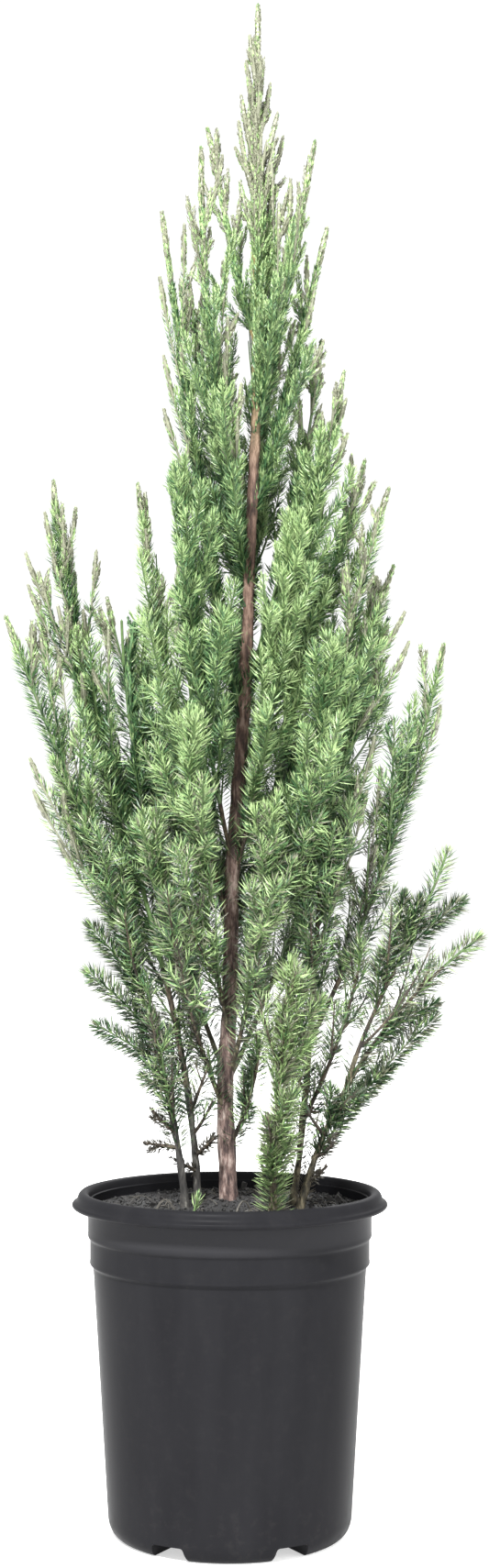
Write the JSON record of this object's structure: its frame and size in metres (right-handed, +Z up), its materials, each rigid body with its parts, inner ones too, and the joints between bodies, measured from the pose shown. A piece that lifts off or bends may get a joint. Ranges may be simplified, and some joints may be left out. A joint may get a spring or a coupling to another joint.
{
  "type": "potted chinese juniper",
  "caption": "Young upright juniper with feathery needle plumes on a slim trunk and side stems, standing in a black stepped nursery pot.",
  "frame": {"origin": "middle of the pot's flat underside, where it rests on the ground", "axes": "+Z up along the pot's axis, +X to the right and +Y to the back as the picture sees it"},
  "size_m": [0.2593, 0.1786, 0.81],
  "materials": {
    "pot": "satin black injection-moulded plastic",
    "potting_soil": "dark damp potting mix with bits of bark",
    "bark": "red-brown bark that peels in thin strips",
    "foliage": "sharp green needles with pale yellow-green tips"
  },
  "bodies": {
    "root": {"back_high_1_foliage": "foliage", "back_high_2_foliage": "foliage", "back_high_3_foliage": "foliage", "back_high_4_foliage": "foliage", "back_low_1_bough": "bark", "back_low_1_foliage": "foliage", "back_low_2_bough": "bark", "back_low_2_foliage": "foliage", "back_low_3_bough": "bark", "back_low_3_foliage": "foliage", "back_low_4_bough": "bark", "back_low_4_foliage": "foliage", "back_low_5_bough": "bark", "back_low_5_foliage": "foliage", "front_shoot_foliage": "foliage", "front_shoot_stem": "bark", "leader_foliage": "foliage", "left_column_foliage": "foliage", "left_front_bough": "bark", "left_front_foliage": "foliage", "left_inner_bough": "bark", "left_inner_foliage": "foliage", "left_low_foliage": "foliage", "left_low_front_bough": "bark", "left_low_front_foliage": "foliage", "left_low_stem": "bark", "left_middle_bough": "bark", "left_middle_foliage": "foliage", "left_outer_foliage": "foliage", "left_outer_stem": "bark", "left_second_bough": "bark", "left_second_foliage": "foliage", "left_top_foliage": "foliage", "left_upper_foliage": "foliage", "low_end_foliage": "foliage", "low_end_stem": "bark", "low_right_bough": "bark", "low_right_foliage": "foliage", "pot": "pot", "potting_soil": "potting_soil", "right_column_foliage": "foliage", "right_front_bough": "bark", "right_front_foliage": "foliage", "right_front_middle_bough": "bark", "right_front_middle_foliage": "foliage", "right_front_upper_bough": "bark", "right_front_upper_foliage": "foliage", "right_low_foliage": "foliage", "right_lowest_foliage": "foliage", "right_main_foliage": "foliage", "right_main_stem": "bark", "right_middle_foliage": "foliage", "right_outer_bough": "bark", "right_outer_foliage": "foliage", "right_second_foliage": "foliage", "right_third_foliage": "foliage", "right_upper_foliage": "foliage", "trunk": "bark"}
  },
  "joints": []
}
